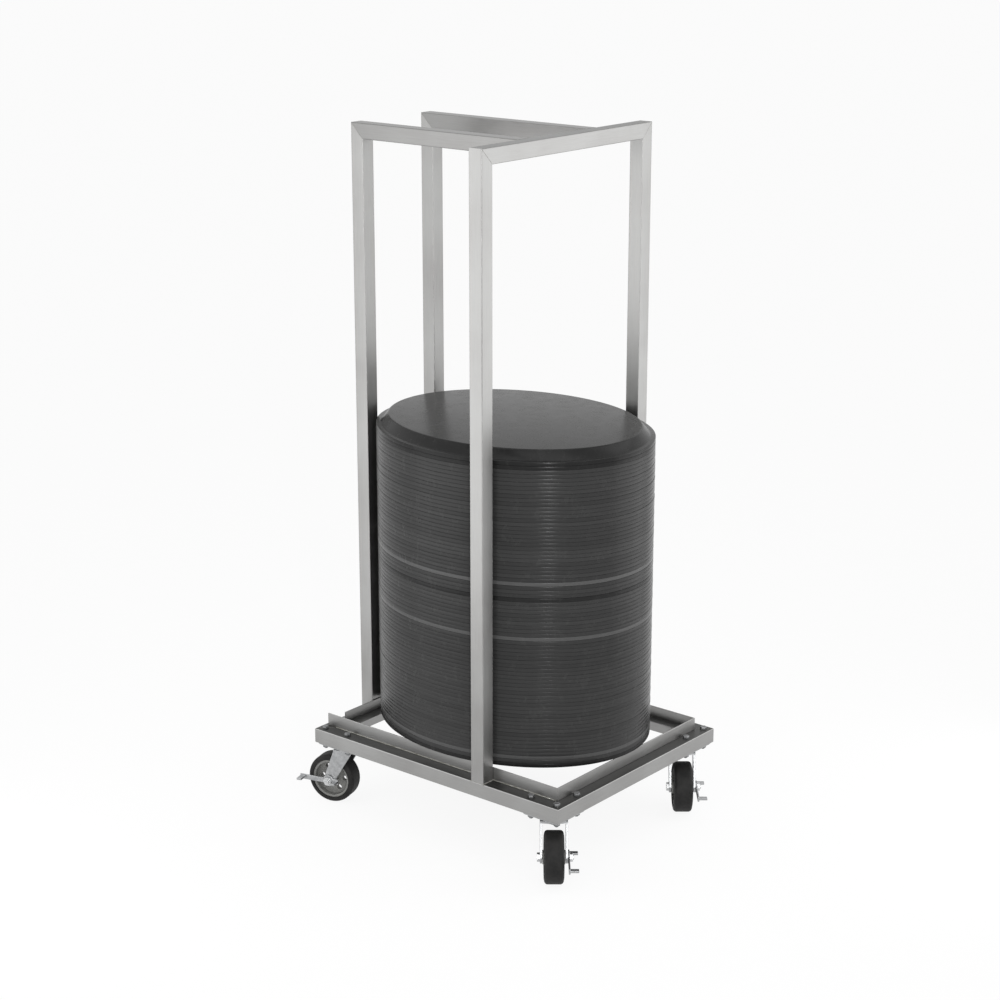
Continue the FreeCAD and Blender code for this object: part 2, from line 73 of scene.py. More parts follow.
def addNode(tree, kind, settings=None, **links):
    # settings: attributes of the node, sockets by name or index, or the stops of a colour ramp
    # links: sockets by name, or by the letter i and an index, fed by another node's output
    node = tree.nodes.new(kind)
    for key, value in (settings or {}).items():
        if key == "stops":
            for element, (position, colour) in zip(node.color_ramp.elements, value):
                element.position = position
                element.color = linearColour(colour)
        elif isinstance(key, str) and hasattr(node, key):
            setattr(node, key, value)
        else:
            node.inputs[key].default_value = value
    for key, source in links.items():
        byIndex = key[0] == "i" and key[1:].isdigit()
        socket = node.inputs[int(key[1:]) if byIndex else key.replace("_", " ")]
        tree.links.new(source, socket)
    return node


def span(label, ends):
    # settings for one side of a range: "From" or "To"
    return {label + " Min": ends[0], label + " Max": ends[1]}


def newMaterial(name):
    material = bpy.data.materials.new(name)
    material.use_nodes = True
    tree = material.node_tree
    shader = tree.nodes["Principled BSDF"]
    coords = tree.nodes.new("ShaderNodeTexCoord")
    return material, tree, shader, coords.outputs["Object"]


def feed(tree, shader, colour, rough=None, relief=None):
    for label, source in (("Base Color", colour), ("Roughness", rough), ("Normal", relief)):
        if source is not None:
            tree.links.new(source, shader.inputs[label])


def newTree(name, inputs, geometryIn=None):
    # Geometry Nodes tree with named inputs: the tree, the inputs' identifiers, and their sockets inside it
    tree = bpy.data.node_groups.new(name, "GeometryNodeTree")
    face = tree.interface
    if geometryIn:
        face.new_socket(name=geometryIn, in_out="INPUT", socket_type="NodeSocketGeometry")
    ids = {}
    for label, kind in inputs.items():
        ids[label] = face.new_socket(name=label, in_out="INPUT", socket_type="NodeSocket" + kind).identifier
    face.new_socket(name="Geometry", in_out="OUTPUT", socket_type="NodeSocketGeometry")
    return tree, ids, addNode(tree, "NodeGroupInput").outputs


def endTree(tree, instances, finish):
    # plain mesh with its material on, as every tree ends
    real = addNode(tree, "GeometryNodeRealizeInstances", Geometry=instances)
    coated = addNode(tree, "GeometryNodeSetMaterial", Geometry=real.outputs[0], Material=finish)
    addNode(tree, "NodeGroupOutput", i0=coated.outputs[0])


def linkedObject(name, data):
    obj = bpy.data.objects.new(name, data)
    bpy.context.scene.collection.objects.link(obj)
    return obj


def settle(obj):
    # modifiers become plain mesh
    bpy.context.view_layer.update()
    graph = bpy.context.evaluated_depsgraph_get()
    mesh = bpy.data.meshes.new_from_object(obj.evaluated_get(graph))
    old = obj.data
    obj.modifiers.clear()
    obj.data = mesh
    mesh.name = obj.name
    if old.users == 0:
        bpy.data.meshes.remove(old)


def grownObject(name, mesh, tree, ids, values):
    # runs a tree on a mesh and keeps the result
    obj = linkedObject(name, mesh)
    growth = obj.modifiers.new("growth", "NODES")
    growth.node_group = tree
    for label, value in values.items():
        growth[ids[label]] = value
    settle(obj)
    return obj


def smoothMesh(name, bm, sharpAngle):
    # smooth where it is round, sharp where it is cut
    mesh = bpy.data.meshes.new(name)
    bm.to_mesh(mesh)
    bm.free()
    for polygon in mesh.polygons:
        polygon.use_smooth = True
    mesh.set_sharp_from_angle(angle=math.radians(sharpAngle))
    return mesh


def looseMesh(name, bm):
    # a source for instances
    bmesh.ops.recalc_face_normals(bm, faces=bm.faces)
    return linkedObject(name, smoothMesh(name, bm, edgeStyle["sharpAngle"]))


def newPiece(name, bm, material, body, smoothAngle=edgeStyle["smoothAngle"]):
    # finished mesh in place, with flat faces kept flat beside rounded edges
    mesh = smoothMesh(name, bm, smoothAngle)
    mesh.materials.append(material)
    obj = linkedObject(name, mesh)
    weighted = obj.modifiers.new("flatFaces", "WEIGHTED_NORMAL")
    weighted.keep_sharp = True
    settle(obj)
    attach(obj, body)
    return obj


def softenedCopy(node, width):
    # copy of a node's solid with its sharp edges broken, as a deburred or cast edge is
    bm = bmesh.new()
    bm.from_mesh(nodes[node].data)
    bmesh.ops.remove_doubles(bm, verts=bm.verts, dist=edgeStyle["merge"])
    flat = math.radians(edgeStyle["flatAngle"])
    bmesh.ops.dissolve_limit(bm, angle_limit=flat, verts=bm.verts, edges=bm.edges)
    limit = math.radians(edgeStyle["sharpAngle"])
    sharp = [e for e in bm.edges if len(e.link_faces) == 2 and e.calc_face_angle(0) > limit]
    bmesh.ops.bevel(bm, geom=sharp, offset=width, segments=edgeStyle["steps"], profile=edgeStyle["profile"],
                    affect="EDGES", clamp_overlap=True)
    return bm


def bridge(bm, first, second):
    count = len(first)
    for i in range(count):
        j = (i + 1) % count
        bm.faces.new((first[i], first[j], second[j], second[i]))


def closeRings(bm, rings):
    # joins each ring to the next and the last to the first
    for i, ring in enumerate(rings):
        bridge(bm, ring, rings[(i + 1) % len(rings)])
    bmesh.ops.recalc_face_normals(bm, faces=bm.faces)


# materials

noiseSpan = (0.3, 0.7)                               # where most values of a noise lie
steelLook = {
    "tint": ("#91908f", "#a1a1a0"),
    "railShadeTint": ("#7f7e7d", "#8d8d8c"),              # the two top rails in a darker tint: painted shade
    "tintSpan": (0.34, 0.62),
    "basePaintedShade": "#4a4a49",                           # painted shade, standing in for shadow and the dark stack's reflection, on faces that look up
    # painted shade on the crossbar's faces that look up
    "crossbarPaintedShade": "#787877",
    "paintedShadeSpan": (0.6, 0.95),                         # how far up a face looks where the painted shade starts and is full
    "streakWidth": 0.7 * mm,                         # real brush lines are near 0.1 mm, drawn coarser to show
    "streakLength": 60 * mm,
    "smears": {"Scale": 1 / (170 * mm), "Detail": 3.0},
    "smearShare": 0.6,
    "roughness": (0.34, 0.46),
    "bump": {"Strength": 0.03, "Distance": 0.1 * mm},
}


def brushedStainless(name, lengthwise, tint=steelLook["tint"], paintedShade=None):
    # satin stainless, belt brushed along its length: fine lengthwise streaks, broad faint smears and blurred
    # reflections; with a shade colour, the faces that look up are darkened by painted shade
    look = steelLook
    material, tree, shader, coords = newMaterial(name)
    scale = [1 / look["streakWidth"]] * 3
    scale["XYZ".index(lengthwise)] = 1 / look["streakLength"]
    stretched = addNode(tree, "ShaderNodeMapping", {"Scale": scale}, Vector=coords)
    streaks = addNode(tree, "ShaderNodeTexNoise", {"Scale": 1.0, "Detail": 2.0}, Vector=stretched.outputs[0])
    smears = addNode(tree, "ShaderNodeTexNoise", look["smears"], Vector=coords)
    both = addNode(tree, "ShaderNodeMix", {"data_type": "FLOAT", 0: look["smearShare"]},
                   i2=streaks.outputs["Fac"], i3=smears.outputs["Fac"])
    stops = tuple(zip(look["tintSpan"], tint))
    shade = addNode(tree, "ShaderNodeValToRGB", {"stops": stops}, Fac=both.outputs[0])
    colour = shade.outputs[0]
    # painted shade: faces that look up are mixed toward a darker grey
    if paintedShade:
        normal = addNode(tree, "ShaderNodeNewGeometry").outputs["Normal"]
        facing = addNode(tree, "ShaderNodeSeparateXYZ", i0=normal)
        upShadeMask = addNode(tree, "ShaderNodeMapRange", span("From", look["paintedShadeSpan"]),
                         Value=facing.outputs["Z"])
        paintedShadeLayer = addNode(tree, "ShaderNodeMix", {"data_type": "RGBA", 7: linearColour(paintedShade)},
                        i0=upShadeMask.outputs[0], i6=colour)
        colour = paintedShadeLayer.outputs[2]
    rough = addNode(tree, "ShaderNodeMapRange", {**span("From", noiseSpan), **span("To", look["roughness"])},
                    Value=both.outputs[0])
    bump = addNode(tree, "ShaderNodeBump", look["bump"], Height=streaks.outputs["Fac"])
    feed(tree, shader, colour, rough.outputs[0], bump.outputs[0])
    shader.inputs["Metallic"].default_value = 1.0
    return material


weldLook = {
    "tints": ((0.35, "#77766f"), (0.65, "#a5a4a0")),
    "patches": {"Scale": 1 / (9 * mm), "Detail": 3.0},
    "roughness": (0.32, 0.55),
}


def groundWeld():
    # weld ground back and scrubbed: duller than the tube, with straw and grey heat tint in patches
    look = weldLook
    material, tree, shader, coords = newMaterial("groundWeld")
    patches = addNode(tree, "ShaderNodeTexNoise", look["patches"], Vector=coords)
    ramp = addNode(tree, "ShaderNodeValToRGB", {"stops": look["tints"]}, Fac=patches.outputs["Fac"])
    rough = addNode(tree, "ShaderNodeMapRange", span("To", look["roughness"]), Value=patches.outputs["Fac"])
    feed(tree, shader, ramp.outputs[0], rough.outputs[0])
    shader.inputs["Metallic"].default_value = 1.0
    return material


zincLook = {
    "tintSpan": (0.3, 0.65),
    "clouds": {"Scale": 1 / (12 * mm), "Detail": 4.0},
    "cloudShare": 0.8,
    "roughness": (0.28, 0.5),
    "bump": {"Strength": 0.06, "Distance": 0.3 * mm},
}


def zincPlate(name, dark, light, spangleSize):
    # zinc plated pressed steel: grey, cloudy, faintly spangled, half dull
    look = zincLook
    material, tree, shader, coords = newMaterial(name)
    spangle = addNode(tree, "ShaderNodeTexVoronoi", {"feature": "F1", "Scale": 1 / spangleSize},
                      Vector=coords)
    clouds = addNode(tree, "ShaderNodeTexNoise", look["clouds"], Vector=coords)
    blend = addNode(tree, "ShaderNodeMix", {"data_type": "FLOAT", 0: look["cloudShare"]},
                    i2=spangle.outputs["Distance"], i3=clouds.outputs["Fac"])
    stops = tuple(zip(look["tintSpan"], (dark, light)))
    ramp = addNode(tree, "ShaderNodeValToRGB", {"stops": stops}, Fac=blend.outputs[0])
    rough = addNode(tree, "ShaderNodeMapRange", span("To", look["roughness"]), Value=clouds.outputs["Fac"])
    bump = addNode(tree, "ShaderNodeBump", look["bump"], Height=clouds.outputs["Fac"])
    feed(tree, shader, ramp.outputs[0], rough.outputs[0], bump.outputs[0])
    shader.inputs["Metallic"].default_value = 1.0
    return material


ballLook = {
    "tints": ((0.0, "#8b8984"), (1.0, "#c9c9c8")),
    "grease": {"Scale": 1 / (3 * mm), "Detail": 2.0},
    "roughness": (0.08, 0.3),
}


def bearingSteel():
    # hardened ball steel with a thin film of grease: bright, slightly smeared
    look = ballLook
    material, tree, shader, coords = newMaterial("bearingSteel")
    grease = addNode(tree, "ShaderNodeTexNoise", look["grease"], Vector=coords)
    ramp = addNode(tree, "ShaderNodeValToRGB", {"stops": look["tints"]}, Fac=grease.outputs["Fac"])
    rough = addNode(tree, "ShaderNodeMapRange", span("To", look["roughness"]), Value=grease.outputs["Fac"])
    feed(tree, shader, ramp.outputs[0], rough.outputs[0])
    shader.inputs["Metallic"].default_value = 1.0
    return material


tyreLook = {
    "tints": ((0.38, "#0f0f0f"), (0.75, "#242322")),
    "dust": {"Scale": 1 / (22 * mm), "Detail": 5.0, "Roughness": 0.65},
    "grain": {"Scale": 1 / (1.8 * mm), "Detail": 4.0},     # coarser than the real grain, so that it shows
    "roughness": (0.55, 0.8),
    "bump": {"Strength": 0.15, "Distance": 0.2 * mm},
    "specular": 0.3,
}


def tyreRubber():
    # moulded black rubber: deep grey, dull, with floor dust in the fine grain
    look = tyreLook
    material, tree, shader, coords = newMaterial("tyreRubber")
    grain = addNode(tree, "ShaderNodeTexNoise", look["grain"], Vector=coords)
    dust = addNode(tree, "ShaderNodeTexNoise", look["dust"], Vector=coords)
    ramp = addNode(tree, "ShaderNodeValToRGB", {"stops": look["tints"]}, Fac=dust.outputs["Fac"])
    rough = addNode(tree, "ShaderNodeMapRange", span("To", look["roughness"]), Value=grain.outputs["Fac"])
    bump = addNode(tree, "ShaderNodeBump", look["bump"], Height=grain.outputs["Fac"])
    feed(tree, shader, ramp.outputs[0], rough.outputs[0], bump.outputs[0])
    shader.inputs["Specular IOR Level"].default_value = look["specular"]
    return material


nylonLook = {
    "tints": ((0.0, "#6c6c6b"), (1.0, "#83837f")),
    "flow": {"Scale": 1 / (14 * mm), "Detail": 3.0, "Distortion": 1.2},
    "pores": {"Scale": 1 / (0.9 * mm), "Detail": 2.0},     # coarser than real pores, so that they show
    "roughness": (0.4, 0.55),
    "bump": {"Strength": 0.1, "Distance": 0.15 * mm},
}


def wheelNylon():
    # moulded grey nylon wheel centre: satin, with faint flow marks
    look = nylonLook
    material, tree, shader, coords = newMaterial("wheelNylon")
    flow = addNode(tree, "ShaderNodeTexNoise", look["flow"], Vector=coords)
    pores = addNode(tree, "ShaderNodeTexNoise", look["pores"], Vector=coords)
    ramp = addNode(tree, "ShaderNodeValToRGB", {"stops": look["tints"]}, Fac=flow.outputs["Fac"])
    rough = addNode(tree, "ShaderNodeMapRange", span("To", look["roughness"]), Value=pores.outputs["Fac"])
    bump = addNode(tree, "ShaderNodeBump", look["bump"], Height=pores.outputs["Fac"])
    feed(tree, shader, ramp.outputs[0], rough.outputs[0], bump.outputs[0])
    return material


trayLook = {
    "tints": ((0.0, "#202020"), (1.0, "#707070")),         # from a new tray to a bleached one
    "scuffs": {"Scale": 1 / (30 * mm), "Detail": 6.0, "Roughness": 0.7},
    "scuffTint": "#8a8a88",
    "scuffSpan": (0.5, 0.85),
    "scuffShare": (0.0, 0.05),
    "grain": {"Scale": 1 / (1.5 * mm), "Detail": 2.0},     # coarser than the real grain, so that it shows
    "roughness": (0.2, 0.3),
    "bump": {"Strength": 0.03, "Distance": 0.2 * mm},
    "ior": 1.52,
    "specular": 0.12,
}


def trayFibreglass():
    # pressed fibreglass tray: near black, glossy, with scuffs; "trayTone" makes some rims older and paler
    look = trayLook
    material, tree, shader, coords = newMaterial("trayFibreglass")
    tone = addNode(tree, "ShaderNodeAttribute", {"attribute_name": "trayTone"})
    scuffs = addNode(tree, "ShaderNodeTexNoise", look["scuffs"], Vector=coords)
    grain = addNode(tree, "ShaderNodeTexNoise", look["grain"], Vector=coords)
    ramp = addNode(tree, "ShaderNodeValToRGB", {"stops": look["tints"]}, Fac=tone.outputs["Fac"])
    worn = {**span("From", look["scuffSpan"]), **span("To", look["scuffShare"])}
    wear = addNode(tree, "ShaderNodeMapRange", worn, Value=scuffs.outputs["Fac"])
    colour = addNode(tree, "ShaderNodeMix", {"data_type": "RGBA", 7: linearColour(look["scuffTint"])},
                     i0=wear.outputs[0], i6=ramp.outputs[0])
    rough = addNode(tree, "ShaderNodeMapRange", {**span("From", noiseSpan), **span("To", look["roughness"])},
                    Value=scuffs.outputs["Fac"])
    bump = addNode(tree, "ShaderNodeBump", look["bump"], Height=grain.outputs["Fac"])
    feed(tree, shader, colour.outputs[2], rough.outputs[0], bump.outputs[0])
    shader.inputs["IOR"].default_value = look["ior"]
    shader.inputs["Specular IOR Level"].default_value = look["specular"]
    return material


steelAlong = {axis: brushedStainless("brushedStainless" + axis, axis) for axis in "XYZ"}
# base tubes with painted shade on the faces that look up
baseShadedAlong = {axis: brushedStainless("filmedStainless" + axis, axis, paintedShade=steelLook["basePaintedShade"])
             for axis in "XY"}
# top rails in a darker tint and the crossbar's upward faces darkened: both painted shade
topShadedAlong = {"X": brushedStainless("dullStainlessX", "X", steelLook["railShadeTint"]),
            "Y": brushedStainless("dustyStainlessY", "Y", paintedShade=steelLook["crossbarPaintedShade"])}
tubeSteel = {"base": baseShadedAlong, "top": topShadedAlong}     # by the first word of a tube's name, else steelAlong
weldFinish = groundWeld()
casterZinc = zincPlate("zincPlatedSteel", "#969798", "#b0b1b2", 4 * mm)
boltZinc = zincPlate("zincPlatedBolt", "#6a6b6c", "#8e8f90", 2 * mm)
axleZinc = zincPlate("brightZincAxle", "#b4b5b6", "#cfd0d0", 3 * mm)
ballSteel = bearingSteel()
rubber = tyreRubber()
nylon = wheelNylon()
trayFinish = trayFibreglass()
print("materials made")


# square tubes with rolled corners and mitred ends

tubeStyle = {"cornerRadius": 2.4 * mm, "cornerSteps": 4}
tubes = {
    # name: lengthwise axis, side of the long edge, low end mitred, high end mitred
    "base_rail_right": ("X", "-Y", True, True),
    "base_rail_left": ("X", "+Y", True, True),
    "base_rail_front": ("Y", "+X", True, True),
    "base_rail_rear": ("Y", "-X", True, True),
    "front_post_right": ("Z", "-Y", False, True),
    "front_post_left": ("Z", "+Y", False, True),
    "rear_post_right": ("Z", "-X", False, True),
    "rear_post_left": ("Z", "-X", False, True),
    "top_crossbar": ("Y", "+Z", True, True),
    "top_rail_right": ("X", "+Z", True, False),
    "top_rail_left": ("X", "+Z", True, False),
}


def roundedSquare(side, radius, steps):
    # points around a square section, measured from one of its corners
    points = []
    for cx, cy, start in ((side - radius, side - radius, 0), (radius, side - radius, 90),
                          (radius, radius, 180), (side - radius, radius, 270)):
        for step in range(steps + 1):
            turn = math.radians(start + 90 * step / steps)
            points.append((cx + radius * math.cos(turn), cy + radius * math.sin(turn)))
    return points


def tubePiece(name, lengthwise, longSide, lowMitred, highMitred):
    low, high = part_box(name)
    along = "XYZ".index(lengthwise)
    deep = "XYZ".index(longSide[1])                  # a mitre runs inward with depth from the long side
    across = 3 - along - deep
    bm = bmesh.new()
    lowRing, highRing = [], []
    ends = ((lowRing, low, lowMitred, 1), (highRing, high, highMitred, -1))
    section = roundedSquare(high[deep] - low[deep], tubeStyle["cornerRadius"], tubeStyle["cornerSteps"])
    for depth, width in section:
        for ring, end, mitred, inward in ends:
            point = Vector((0, 0, 0))
            point[along] = end[along] + (inward * depth if mitred else 0)
            point[deep] = low[deep] + depth if longSide[0] == "-" else high[deep] - depth
            point[across] = low[across] + width
            ring.append(bm.verts.new(point))
    bridge(bm, lowRing, highRing)
    bm.faces.new(lowRing)
    bm.faces.new(highRing)
    bmesh.ops.recalc_face_normals(bm, faces=bm.faces)
    steel = tubeSteel.get(name.split("_")[0], steelAlong)[lengthwise]
    piece = newPiece(name + "_rolled", bm, steel, "frame")
    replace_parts(piece, name)


for name, shape in tubes.items():
    tubePiece(name, *shape)
print("tubes:", len(tubes))


# angles that carry the trays, and the corner plates

angleStyle = {"edge": 0.8 * mm, "gussetEdge": 0.6 * mm}
restRails = {"rest_rail_right": "X", "rest_rail_left": "X", "rest_rail_front": "Y", "rest_rail_rear": "Y"}

for name, lengthwise in restRails.items():
    rail = softenedCopy(name, angleStyle["edge"])
    piece = newPiece(name + "_rolled", rail, steelAlong[lengthwise], "frame")
    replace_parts(piece, name)
plates = softenedCopy("corner_gussets", angleStyle["gussetEdge"])
gussets = newPiece("corner_gussets_deburred", plates, steelAlong["X"], "frame")
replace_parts(gussets, "corner_gussets")
print("rest rails:", len(restRails))


# caster bolts and nuts, one set each

boltStyle = {
    "spacing": 76.2 * mm,
    "diameter": 9.5 * mm,
    "across": 14.3 * mm,          # hexagon across its flats
    "chamfer": 0.9 * mm,
    "hexSteps": 2,                # steps of the chamfer on heads and nuts
    "tipSteps": 1,
    "shankSides": 24,
    "turn": math.pi / 3,          # a hexagon looks the same after a sixth of a turn
    "nearLevel": 0.01 * mm,       # edges this near to a level lie on it
    "seed": 5,
}


def prism(bm, sides, radius, low, high):
    made = bmesh.ops.create_cone(bm, cap_ends=True, segments=sides, radius1=radius, radius2=radius,
                                 depth=high - low)
    bmesh.ops.translate(bm, verts=made["verts"], vec=(0, 0, (low + high) / 2))


def chamfer(bm, levels, steps):
    # turns off the edges that lie flat at the given levels
    near = boltStyle["nearLevel"]
    rims = [e for e in bm.edges if any(all(abs(v.co.z - level) < near for v in e.verts) for level in levels)]
    bmesh.ops.bevel(bm, geom=rims, offset=boltStyle["chamfer"], segments=steps, profile=0.5, affect="EDGES")


def hexagonal(bm, low, high, levels):
    prism(bm, 6, boltStyle["across"] / math.sqrt(3), low, high)
    chamfer(bm, levels, boltStyle["hexSteps"])


def fastenerTree():
    # one fastener on each point, turned as it happened to tighten
    inputs = {"Fastener": "Object", "Seed": "Int", "Finish": "Material"}
    tree, ids, given = newTree("fastenersOnPoints", inputs, "Points")
    shape = addNode(tree, "GeometryNodeObjectInfo", Object=given["Fastener"])
    turn = addNode(tree, "FunctionNodeRandomValue",
                   {"data_type": "FLOAT_VECTOR", 0: (0, 0, 0), 1: (0, 0, boltStyle["turn"])},
                   Seed=given["Seed"])
    placed = addNode(tree, "GeometryNodeInstanceOnPoints", Points=given["Points"],
                     Instance=shape.outputs["Geometry"], Rotation=turn.outputs[0])
    endTree(tree, placed.outputs[0], given["Finish"])
    return tree, ids


def fastenerSet(name, node, source, places):
    mesh = bpy.data.meshes.new(name)
    mesh.from_pydata(places, [], [])
    values = {"Fastener": source, "Seed": boltStyle["seed"], "Finish": boltZinc}
    obj = grownObject(name, mesh, fasteners, fastenerIds, values)
    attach(obj, "frame")
    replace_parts(obj, node)
    bpy.data.objects.remove(source)


fasteners, fastenerIds = fastenerTree()
outerPlaces, innerPlaces = [], []
half = boltStyle["spacing"] / 2
for corner in casterCorners:
    plateLow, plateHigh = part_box("caster_" + corner + "_top_plate")
    middle = (plateLow + plateHigh) / 2
    for dx in (-half, half):
        for dy in (-half, half):
            inner = dx * middle.x < 0 and dy * middle.y < 0      # toward the middle of the cart, on a gusset
            (innerPlaces if inner else outerPlaces).append((middle.x + dx, middle.y + dy, 0))
boltKinds = (("long", outerPlaces, "base_rail_right"), ("short", innerPlaces, "corner_gussets"))
for kind, places, seat in boltKinds:      # heads rest on top of the seat
    node = "caster_bolts_" + kind
    tipLevel, headTop = (corner.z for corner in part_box(node))
    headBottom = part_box(seat)[1].z
    bm = bmesh.new()
    hexagonal(bm, headBottom, headTop, (headTop,))
    prism(bm, boltStyle["shankSides"], boltStyle["diameter"] / 2, tipLevel, headBottom)
    chamfer(bm, (tipLevel,), boltStyle["tipSteps"])
    fastenerSet(node + "_hex", node, looseMesh(node + "_source", bm), places)
nutLow, nutHigh = (corner.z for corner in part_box("caster_nuts"))
bm = bmesh.new()
hexagonal(bm, nutLow, nutHigh, (nutLow, nutHigh))
fastenerSet("caster_nuts_hex", "caster_nuts", looseMesh("nut_source", bm), outerPlaces + innerPlaces)
print("fasteners:", len(outerPlaces) + len(innerPlaces))


# welds: raised beads where tubes stand on tubes, fine ground lines along the mitres

weldStyle = {
    "bead": 1.8 * mm,
    "beadSpacing": 2.0 * mm,
    "ground": 0.35 * mm,
    "groundSpacing": 0.6 * mm,
    "leastDrop": (0.85, 0.85, 0.8),      # drops vary between these shares of their size
    "mostDrop": (1.1, 1.1, 1.0),
    "dropDetail": 2,
    "seed": 3,
}


def weldTree():
    # rippled bead along each seam: overlapping drops set along the curve
    inputs = {"Drop": "Object", "Spacing": "Float", "Size": "Float", "Seed": "Int", "Finish": "Material"}
    tree, ids, given = newTree("weldBead", inputs, "Seams")
    drop = addNode(tree, "GeometryNodeObjectInfo", Object=given["Drop"])
    curve = addNode(tree, "GeometryNodeMeshToCurve", Mesh=given["Seams"])
    dots = addNode(tree, "GeometryNodeResampleCurve", {"mode": "LENGTH"},
                   Curve=curve.outputs[0], Length=given["Spacing"])
    tangent = addNode(tree, "GeometryNodeInputTangent")
    along = addNode(tree, "FunctionNodeAlignRotationToVector", {"axis": "Z"}, Vector=tangent.outputs[0])
    uneven = addNode(tree, "FunctionNodeRandomValue",
                     {"data_type": "FLOAT_VECTOR", 0: weldStyle["leastDrop"], 1: weldStyle["mostDrop"]},
                     Seed=given["Seed"])
    grown = addNode(tree, "ShaderNodeVectorMath", {"operation": "SCALE"},
                    i0=uneven.outputs[0], Scale=given["Size"])
    placed = addNode(tree, "GeometryNodeInstanceOnPoints", Points=dots.outputs[0],
                     Instance=drop.outputs["Geometry"], Rotation=along.outputs[0], Scale=grown.outputs[0])
    endTree(tree, placed.outputs[0], given["Finish"])
    return tree, ids


def filletSeams():
    # inside corners that hold a bead: post feet, rest rails along the base, top rails against the crossbar
    seams = []
    for name in ("front_post_right", "front_post_left"):
        low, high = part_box(name)
        seams += [((x, low.y, low.z), (x, high.y, low.z)) for x in (low.x, high.x)]
    for name in ("rear_post_right", "rear_post_left"):
        low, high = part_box(name)
        seams += [((low.x, y, low.z), (high.x, y, low.z)) for y in (low.y, high.y)]
    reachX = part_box("base_rail_front")[0].x
    for name, outerSide in (("rest_rail_right", 0), ("rest_rail_left", 1)):
        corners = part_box(name)
        y, level = corners[outerSide].y, corners[0].z
        seams.append(((-reachX, y, level), (reachX, y, level)))
    low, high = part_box("rest_rail_rear")
    seams.append(((low.x, low.y, low.z), (low.x, high.y, low.z)))
    for name in ("top_rail_right", "top_rail_left"):
        low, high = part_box(name)
        below = high.z - tubeStyle["cornerRadius"]
        seams += [((high.x, y, low.z), (high.x, y, below)) for y in (low.y, high.y)]
        seams.append(((high.x, low.y, low.z), (high.x, high.y, low.z)))
    return seams


def groundSeams():
    # flush joints: mitres of the base, mitres at the top, and the flush sides of the post feet
    seams = []
    low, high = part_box("base_rail_right")
    tube = high.z - low.z
    reachX, reachY = high.x, -low.y
    trim = tubeStyle["cornerRadius"]
    for sx in (-1, 1):
        for sy in (-1, 1):
            for level in (low.z, high.z):
                seams.append(((sx * (reachX - trim), sy * (reachY - trim), level),
                              (sx * (reachX - tube + trim), sy * (reachY - tube + trim), level)))
    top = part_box("top_crossbar")[1].z
    upper, lower = top - trim, top - tube + trim     # ends of a top mitre
    for name in ("front_post_right", "front_post_left"):
        low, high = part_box(name)
        outer, inner = (low.y + trim, high.y - trim) if low.y < 0 else (high.y - trim, low.y + trim)
        seams += [((x, outer, upper), (x, inner, lower)) for x in (low.x, high.x)]
        seams += [((low.x + trim, y, low.z), (high.x - trim, y, low.z)) for y in (low.y, high.y)]
    for name in ("rear_post_right", "rear_post_left"):
        low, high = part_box(name)
        seams += [((low.x + trim, y, upper), (high.x - trim, y, lower)) for y in (low.y, high.y)]
        seams += [((x, low.y + trim, low.z), (x, high.y - trim, low.z)) for x in (low.x, high.x)]
    return seams


def weldRun(name, seams, size, spacing):
    ends = [Vector(end) for seam in seams for end in seam]
    mesh = bpy.data.meshes.new(name)
    mesh.from_pydata(ends, [(i, i + 1) for i in range(0, len(ends), 2)], [])
    values = {"Drop": dropSource, "Spacing": spacing, "Size": size, "Seed": weldStyle["seed"],
              "Finish": weldFinish}
    obj = grownObject(name, mesh, welds, weldIds, values)
    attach(obj, "frame")


welds, weldIds = weldTree()
bm = bmesh.new()
bmesh.ops.create_icosphere(bm, subdivisions=weldStyle["dropDetail"], radius=1.0)
dropSource = looseMesh("dropSource", bm)
raised, flush = filletSeams(), groundSeams()
weldRun("weld_beads", raised, weldStyle["bead"], weldStyle["beadSpacing"])
weldRun("weld_ground_lines", flush, weldStyle["ground"], weldStyle["groundSpacing"])
bpy.data.objects.remove(dropSource)
print("welds:", len(raised) + len(flush), "seams")


# trays: a column of rims between whole trays, one at the bottom and two on top
# the second one on top keeps the stack closed when the first is lifted

trayStyle = {
    "steps": 160,             # sides of each oval
    "rimHeight": 9.4 * mm,
    "rimWidth": 12.0 * mm,
    "wallFlare": 19.0 * mm,
    "wallThickness": 6.0 * mm,
    "floorThickness": 3.0 * mm,
    "rimRound": 0.8 * mm,     # rounding of the rim's upper edge
    "footRound": 0.6 * mm,
    "heelBefore": 1.5 * mm,   # the rim's top bends into the wall between these two
    "heelAfter": 0.8 * mm,
    "floorRound": 7.0 * mm,
    "floorSteps": 4,
    "trays": 78,
    "wholeTrays": 3,
    "nestGap": 0.3 * mm,
    "slip": 0.35 * mm,        # how far trays sit out of line
    "seed": 11,
    "tones": (0.11, 0.17),
    "oddTrays": {             # place up the column, change of tone
        "Low pale tray": (1, 0.26),
        "Middle pale tray": (32, 0.26),
        "High pale tray": (46, 0.34),
        "Dark tray": (42, -0.16),
    },
}
trayLow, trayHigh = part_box("top_tray")
trayCentre = (trayLow + trayHigh) / 2
halfLong = (trayHigh.x - trayLow.x) / 2
halfWide = (trayHigh.y - trayLow.y) / 2
trayTall = trayHigh.z - trayLow.z
trayPitch = trayStyle["rimHeight"] + trayStyle["nestGap"]


def ovalRing(bm, inset, level):
    ring = []
    for i in range(trayStyle["steps"]):
        turn = 2 * math.pi * i / trayStyle["steps"]
        x, y = (halfLong - inset) * math.cos(turn), (halfWide - inset) * math.sin(turn)
        ring.append(bm.verts.new((x, y, level)))
    return ring


